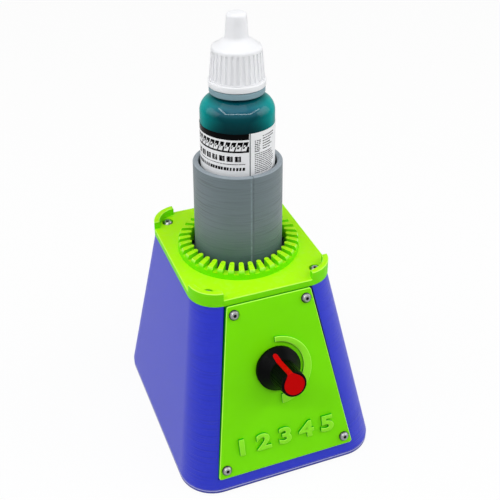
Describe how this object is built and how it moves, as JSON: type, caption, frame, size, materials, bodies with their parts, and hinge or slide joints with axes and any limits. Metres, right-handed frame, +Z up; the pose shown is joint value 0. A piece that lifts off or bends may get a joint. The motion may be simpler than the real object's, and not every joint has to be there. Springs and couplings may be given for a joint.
{
  "type": "nail polish shaker machine",
  "caption": "Tapered desktop shaker with a rotary speed control, and a cup that wobbles in a toothed lid ring and holds a dropper bottle.",
  "frame": {"origin": "middle of the bounding box, on the surface that the four rubber feet stand on", "axes": "+Z up, -Y out of the sloping front with the control, +X to the right seen from the front"},
  "size_m": [0.0706, 0.0894, 0.1491],
  "materials": {
    "housing_plastic": "printed in layers, satin",
    "lid_plastic": "printed in layers, satin",
    "cup_plastic": "printed in layers, satin",
    "dark_print": "printed in layers",
    "screw_steel": "bright zinc",
    "race_steel": "ground",
    "knob_black": "fine grain",
    "pointer_red": "smooth",
    "pad_rubber": "matt",
    "zinc": "rolled",
    "brass_thread": "turned",
    "wafer": "pressed board",
    "board": "solder resist",
    "black_moulding": "smooth",
    "sleeve": "shrunk sleeve",
    "sink": "extruded",
    "terminal_green": "moulded",
    "bottle_plastic": "squeezable, translucent",
    "paint_teal": "liquid",
    "cap_white": "moulded"
  },
  "bodies": {
    "case": {"housing": "housing_plastic", "base_cover": "housing_plastic", "base_screws": "screw_steel", "rubber_foot_1": "pad_rubber", "rubber_foot_2": "pad_rubber", "rubber_foot_3": "pad_rubber", "rubber_foot_4": "pad_rubber", "top_lid": "lid_plastic", "lid_screws": "screw_steel", "front_panel": "lid_plastic", "panel_screws": "screw_steel", "control_body": "zinc", "control_bushing": "brass_thread", "control_washer": "zinc", "control_nut": "zinc", "control_terminals": "wafer", "motor_can": "zinc", "motor_end_cap": "black_moulding", "motor_terminals": "brass_thread", "motor_bracket": "dark_print", "motor_screws": "screw_steel", "control_board": "board", "board_screws": "screw_steel", "capacitor": "sleeve", "power_transistor": "black_moulding", "heat_sink": "sink", "terminal_blocks": "terminal_green", "power_inlet": "black_moulding", "inlet_pin": "brass_thread", "inlet_nut": "zinc"},
    "knob": {"knob_body": "knob_black", "knob_pointer": "pointer_red", "spindle": "sink"},
    "crank": {"crank_hub": "dark_print", "journal_washer": "zinc", "journal_screw": "screw_steel", "crank_grub_screw": "screw_steel", "motor_shaft": "race_steel", "bearing_inner_race": "race_steel"},
    "ball_set": {"bearing_balls": "race_steel", "bearing_cage": "zinc"},
    "cup_group": {"cup": "cup_plastic", "bearing_outer_race": "race_steel"},
    "bottle": {"bottle_body": "bottle_plastic", "paint": "paint_teal", "dropper_tip": "cap_white"},
    "cap": {"bottle_cap": "cap_white"}
  },
  "joints": [
    {"name": "knob_turn", "type": "hinge", "parent": "case", "child": "knob", "pos_m": [0, -0.02864, 0.0411], "axis": [0, 0.9536, -0.3011], "range_deg": [0, 300]},
    {"name": "crank_spin", "type": "hinge", "parent": "case", "child": "crank", "pos_m": [0, 0.00683, 0.0668], "axis": [0, 0, 1], "continuous": true},
    {"name": "ball_roll", "type": "hinge", "parent": "crank", "child": "ball_set", "pos_m": [0, 0.00683, 0.0668], "axis": [0.0239, 0.0656, 0.9976], "continuous": true},
    {"name": "cup_nutation", "type": "hinge", "parent": "crank", "child": "cup_group", "pos_m": [0, 0.00683, 0.0668], "axis": [0.0239, 0.0656, 0.9976], "continuous": true},
    {"name": "bottle_lift", "type": "slide", "parent": "cup_group", "child": "bottle", "axis": [0.0239, 0.0656, 0.9976], "range_m": [0, 0.034]},
    {"name": "cap_lift", "type": "slide", "parent": "bottle", "child": "cap", "axis": [0.0239, 0.0656, 0.9976], "range_m": [0, 0.022]}
  ],
  "couplings": [
    {"joint": "cup_nutation", "follows": "crank_spin", "ratio": -1},
    {"joint": "ball_roll", "follows": "crank_spin", "ratio": -0.624}
  ]
}
